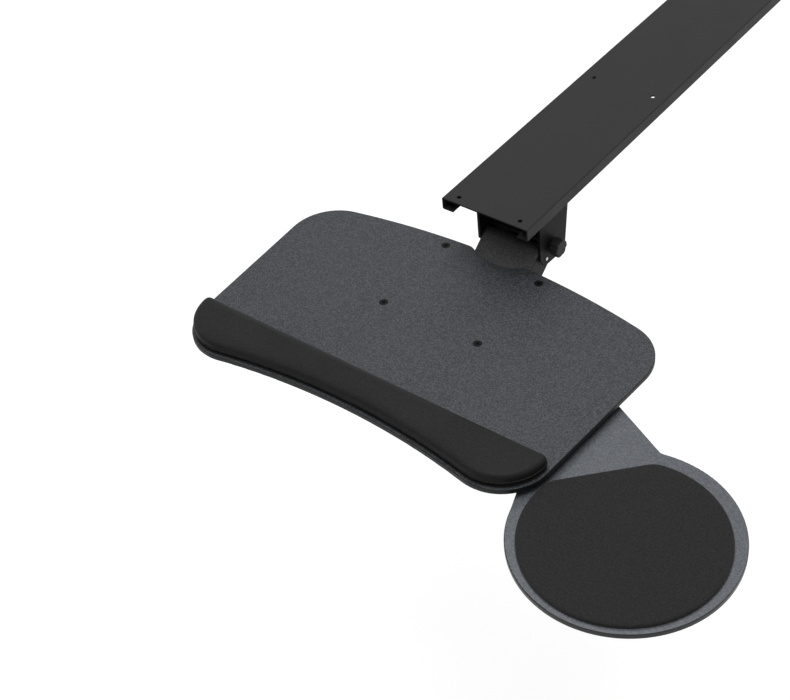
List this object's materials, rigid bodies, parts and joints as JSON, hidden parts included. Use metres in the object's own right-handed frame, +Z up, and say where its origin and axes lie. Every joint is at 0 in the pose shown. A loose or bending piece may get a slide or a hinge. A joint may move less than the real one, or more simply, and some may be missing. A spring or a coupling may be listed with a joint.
{
  "type": "keyboard tray",
  "caption": "Under-desk keyboard tray with a palm rest and a round swivelling mouse platform, on a height-adjustable tilting link arm that slides and swivels below a desk-mounted track.",
  "frame": {"origin": "centre of the track's top face, which meets the underside of a desk", "axes": "+X towards the user's right, +Y away from the user along the track, +Z up"},
  "size_m": [0.67, 0.909, 0.1425],
  "materials": {
    "track_paint": "black powder coat with a fine texture",
    "arm_paint": "black powder coat with a fine texture",
    "zinc_plate": "zinc-plated steel",
    "spring_steel": "drawn spring wire",
    "black_screw": "black oxide",
    "nylon": "moulded nylon",
    "rubber": "soft black rubber",
    "board_laminate": "grey fine-grained laminate",
    "shelf_laminate": "grey fine-grained laminate",
    "palm_cover": "smooth black cover over foam",
    "base_foam": "dark adhesive base",
    "pad_cloth": "woven cloth on foam",
    "knob_plastic": "moulded black plastic"
  },
  "bodies": {
    "track_body": {"track": "track_paint", "front_stop": "track_paint", "rear_stop": "track_paint", "stop_bumpers": "rubber"},
    "carriage": {"carriage_plate": "zinc_plate", "glide_front_left": "nylon", "glide_front_right": "nylon", "glide_rear_left": "nylon", "glide_rear_right": "nylon", "swivel_bolt": "zinc_plate"},
    "swivel": {"swivel_bracket": "arm_paint", "swivel_thrust_washer": "nylon", "swivel_washer": "zinc_plate", "swivel_nut": "zinc_plate", "rear_upper_pin": "zinc_plate", "rear_lower_pin": "zinc_plate", "clamp_bolt": "zinc_plate"},
    "arm": {"upper_link": "arm_paint", "rear_pivot_washers": "nylon", "lift_spring": "spring_steel"},
    "lower_arm": {"lower_link": "arm_paint"},
    "head": {"head_bracket": "arm_paint", "front_upper_pin": "zinc_plate", "front_lower_pin": "zinc_plate", "front_pivot_spacers": "nylon", "lower_pivot_spacers": "nylon", "tilt_bolt": "zinc_plate", "tilt_washers": "nylon"},
    "tray": {"mount_plate": "arm_paint", "board": "board_laminate", "board_screws": "black_screw", "board_nuts": "zinc_plate", "palm_rest_base": "base_foam", "palm_rest": "palm_cover", "mouse_stud": "zinc_plate", "stud_screws": "black_screw", "mouse_spacer": "nylon"},
    "mouse_shelf": {"mouse_platform": "shelf_laminate", "mouse_pad": "pad_cloth", "mouse_washer": "nylon"},
    "height_clamp": {"height_knob": "knob_plastic"},
    "tilt_clamp": {"tilt_knob": "knob_plastic"},
    "mouse_clamp": {"mouse_knob": "knob_plastic"}
  },
  "joints": [
    {"name": "track_slide", "type": "slide", "parent": "track_body", "child": "carriage", "axis": [0, 1, 0], "range_m": [0, 0.4]},
    {"name": "tray_swivel", "type": "hinge", "parent": "carriage", "child": "swivel", "pos_m": [0, -0.196, -0.019], "axis": [0, 0, 1], "range_deg": [-90, 90]},
    {"name": "arm_lift", "type": "hinge", "parent": "swivel", "child": "arm", "pos_m": [0, -0.227, -0.081], "axis": [1, 0, 0], "range_deg": [-24.8, 4], "deforming": ["lift_spring"]},
    {"name": "lower_link_turn", "type": "hinge", "parent": "swivel", "child": "lower_arm", "pos_m": [0, -0.219, -0.1], "axis": [1, 0, 0], "range_deg": [-24.9, 4.1]},
    {"name": "head_level", "type": "hinge", "parent": "arm", "child": "head", "pos_m": [0, -0.346, -0.113], "axis": [1, 0, 0], "range_deg": [-4.1, 24.9]},
    {"name": "tray_tilt", "type": "hinge", "parent": "head", "child": "tray", "pos_m": [0, -0.364, -0.096], "axis": [1, 0, 0], "range_deg": [-4, 15]},
    {"name": "mouse_swing", "type": "hinge", "parent": "tray", "child": "mouse_shelf", "pos_m": [0.181, -0.3788, -0.0885], "axis": [0, 0, 1], "range_deg": [-80, 60]},
    {"name": "height_knob_turn", "type": "hinge", "parent": "swivel", "child": "height_clamp", "pos_m": [0.0424, -0.2155, -0.069], "axis": [1, 0, 0], "range_deg": [0, 180]},
    {"name": "tilt_knob_turn", "type": "hinge", "parent": "head", "child": "tilt_clamp", "pos_m": [0.0365, -0.364, -0.096], "axis": [1, 0, 0], "range_deg": [0, 180]},
    {"name": "mouse_knob_turn", "type": "hinge", "parent": "tray", "child": "mouse_clamp", "pos_m": [0.181, -0.3788, -0.0949], "axis": [0, 0, 1], "range_deg": [0, 180]}
  ],
  "couplings": [
    {"joint": "lower_link_turn", "follows": "arm_lift", "ratio": 1},
    {"joint": "head_level", "follows": "arm_lift", "ratio": -1}
  ]
}
